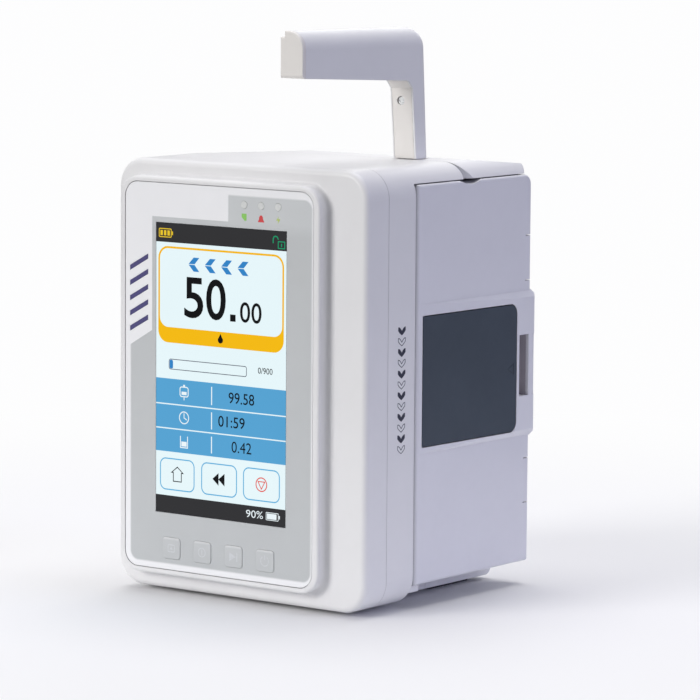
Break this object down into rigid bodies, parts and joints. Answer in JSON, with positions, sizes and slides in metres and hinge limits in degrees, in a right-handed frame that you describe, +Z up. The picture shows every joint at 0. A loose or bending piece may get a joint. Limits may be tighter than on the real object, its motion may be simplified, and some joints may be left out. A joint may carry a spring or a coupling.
{
  "type": "infusion pump",
  "caption": "Compact infusion pump: touch-screen front with panel keys, hinged side door over a linear peristaltic pumping unit, and an L-shaped swivelling handle on top.",
  "frame": {"origin": "centre of the housing footprint on the plane the feet rest on", "axes": "+Z up, -Y towards the screen, +X towards the side door"},
  "size_m": [0.1037, 0.1012, 0.1864],
  "materials": {
    "housing_white": "fine-grained moulded plastic",
    "handle_white": "fine-grained moulded plastic",
    "liner_white": "smooth moulded plastic",
    "overlay_print": "printed film, satin",
    "key_film": "embossed film",
    "screen_glass": "lit display under glass",
    "led_clear": "frosted lens",
    "pad_slate": "fine-grained moulded plastic",
    "inner_grey": "moulded plastic",
    "dark_plastic": "moulded plastic",
    "pom_white": "acetal",
    "silicone": "translucent silicone",
    "rubber_dark": "soft rubber",
    "steel": "ground steel",
    "zinc_screw": "zinc plated",
    "brass": "turned brass",
    "cast_alu": "die cast",
    "pcb": "solder mask",
    "lcd_metal": "pressed sheet",
    "battery_blue": "shrink sleeve"
  },
  "bodies": {
    "root": {"air_bubble_sensor": "dark_plastic", "battery_cells": "battery_blue", "battery_cover": "housing_white", "battery_tray": "dark_plastic", "board_components": "dark_plastic", "board_standoffs": "brass", "camshaft_bearings": "steel", "case_screws": "zinc_screw", "clamp_inserts": "brass", "display_board": "pcb", "display_bracket": "lcd_metal", "encoder_sensor": "dark_plastic", "faceplate_screws": "zinc_screw", "finger_membrane": "silicone", "flow_clamp_solenoid": "steel", "front_bezel": "housing_white", "front_board_components": "dark_plastic", "handle_bush": "pom_white", "housing_gasket": "silicone", "latch_strikes": "steel", "lcd_module": "lcd_metal", "led_lenses": "led_clear", "main_board": "pcb", "middle_housing": "housing_white", "panel_overlay": "overlay_print", "power_inlet": "dark_plastic", "pressure_sensor": "steel", "pump_faceplate": "inner_grey", "pump_fingers": "pom_white", "pump_frame": "cast_alu", "rear_cover": "housing_white", "ribbon_cable": "pom_white", "rubber_feet": "rubber_dark", "speaker": "dark_plastic", "stepper_motor": "steel", "touch_glass": "screen_glass"},
    "door": {"door_shell": "housing_white", "door_lining": "inner_grey", "door_lining_screws": "zinc_screw", "release_pad_pin": "steel", "platen_springs": "steel", "door_hinge_pins": "steel"},
    "release_pad": {"release_pad": "pad_slate"},
    "latch_shaft": {"latch_shaft": "steel"},
    "platen": {"platen": "pom_white"},
    "camshaft": {"camshaft": "steel", "drive_gear": "pom_white", "encoder_disc": "dark_plastic"},
    "motor_rotor": {"motor_pinion": "brass"},
    "flow_clamp_jaw": {"flow_clamp_jaw": "pom_white"},
    "handle": {"handle_shell": "handle_white", "handle_liner": "liner_white", "handle_core": "steel", "handle_screw": "zinc_screw", "handle_end_cap": "liner_white", "handle_retaining_ring": "steel"},
    "key_1": {"panel_key_1": "key_film"},
    "key_2": {"panel_key_2": "key_film"},
    "key_3": {"panel_key_3": "key_film"},
    "key_4": {"panel_key_4": "key_film"}
  },
  "joints": [
    {"name": "door_hinge", "type": "hinge", "parent": "root", "child": "door", "pos_m": [0.0465, -0.0145, 0.0725], "axis": [0, 0, -1], "range_deg": [0, 85]},
    {"name": "release_pad_pull", "type": "hinge", "parent": "door", "child": "release_pad", "pos_m": [0.0499, -0.01415, 0.07375], "axis": [0, 0, -1], "range_deg": [0, 6]},
    {"name": "latch_turn", "type": "hinge", "parent": "door", "child": "latch_shaft", "pos_m": [0.0432, 0.0385, 0.073], "axis": [0, 0, 1], "range_deg": [0, 17.4]},
    {"name": "platen_press", "type": "slide", "parent": "door", "child": "platen", "axis": [1, 0, 0], "range_m": [0, 0.0012], "stiffness_N_per_m": 4000},
    {"name": "camshaft_spin", "type": "hinge", "parent": "root", "child": "camshaft", "pos_m": [0.0146, 0.01075, 0.073], "axis": [0, 0, 1], "continuous": true},
    {"name": "motor_spin", "type": "hinge", "parent": "root", "child": "motor_rotor", "pos_m": [-0.0082, 0.01075, 0.105], "axis": [0, 0, 1], "continuous": true},
    {"name": "flow_clamp_close", "type": "slide", "parent": "root", "child": "flow_clamp_jaw", "axis": [0, -1, 0], "range_m": [0, 0.0032]},
    {"name": "handle_swivel", "type": "hinge", "parent": "root", "child": "handle", "pos_m": [0.02615, 0.0128, 0.13], "axis": [0, 0, 1], "range_deg": [-180, 0]},
    {"name": "key_1_press", "type": "slide", "parent": "root", "child": "key_1", "axis": [0, 1, 0], "range_m": [0, 0.0004], "stiffness_N_per_m": 1500},
    {"name": "key_2_press", "type": "slide", "parent": "root", "child": "key_2", "axis": [0, 1, 0], "range_m": [0, 0.0004], "stiffness_N_per_m": 1500},
    {"name": "key_3_press", "type": "slide", "parent": "root", "child": "key_3", "axis": [0, 1, 0], "range_m": [0, 0.0004], "stiffness_N_per_m": 1500},
    {"name": "key_4_press", "type": "slide", "parent": "root", "child": "key_4", "axis": [0, 1, 0], "range_m": [0, 0.0004], "stiffness_N_per_m": 1500}
  ],
  "couplings": [
    {"joint": "latch_turn", "follows": "release_pad_pull", "ratio": 2.9},
    {"joint": "motor_spin", "follows": "camshaft_spin", "ratio": -3}
  ]
}
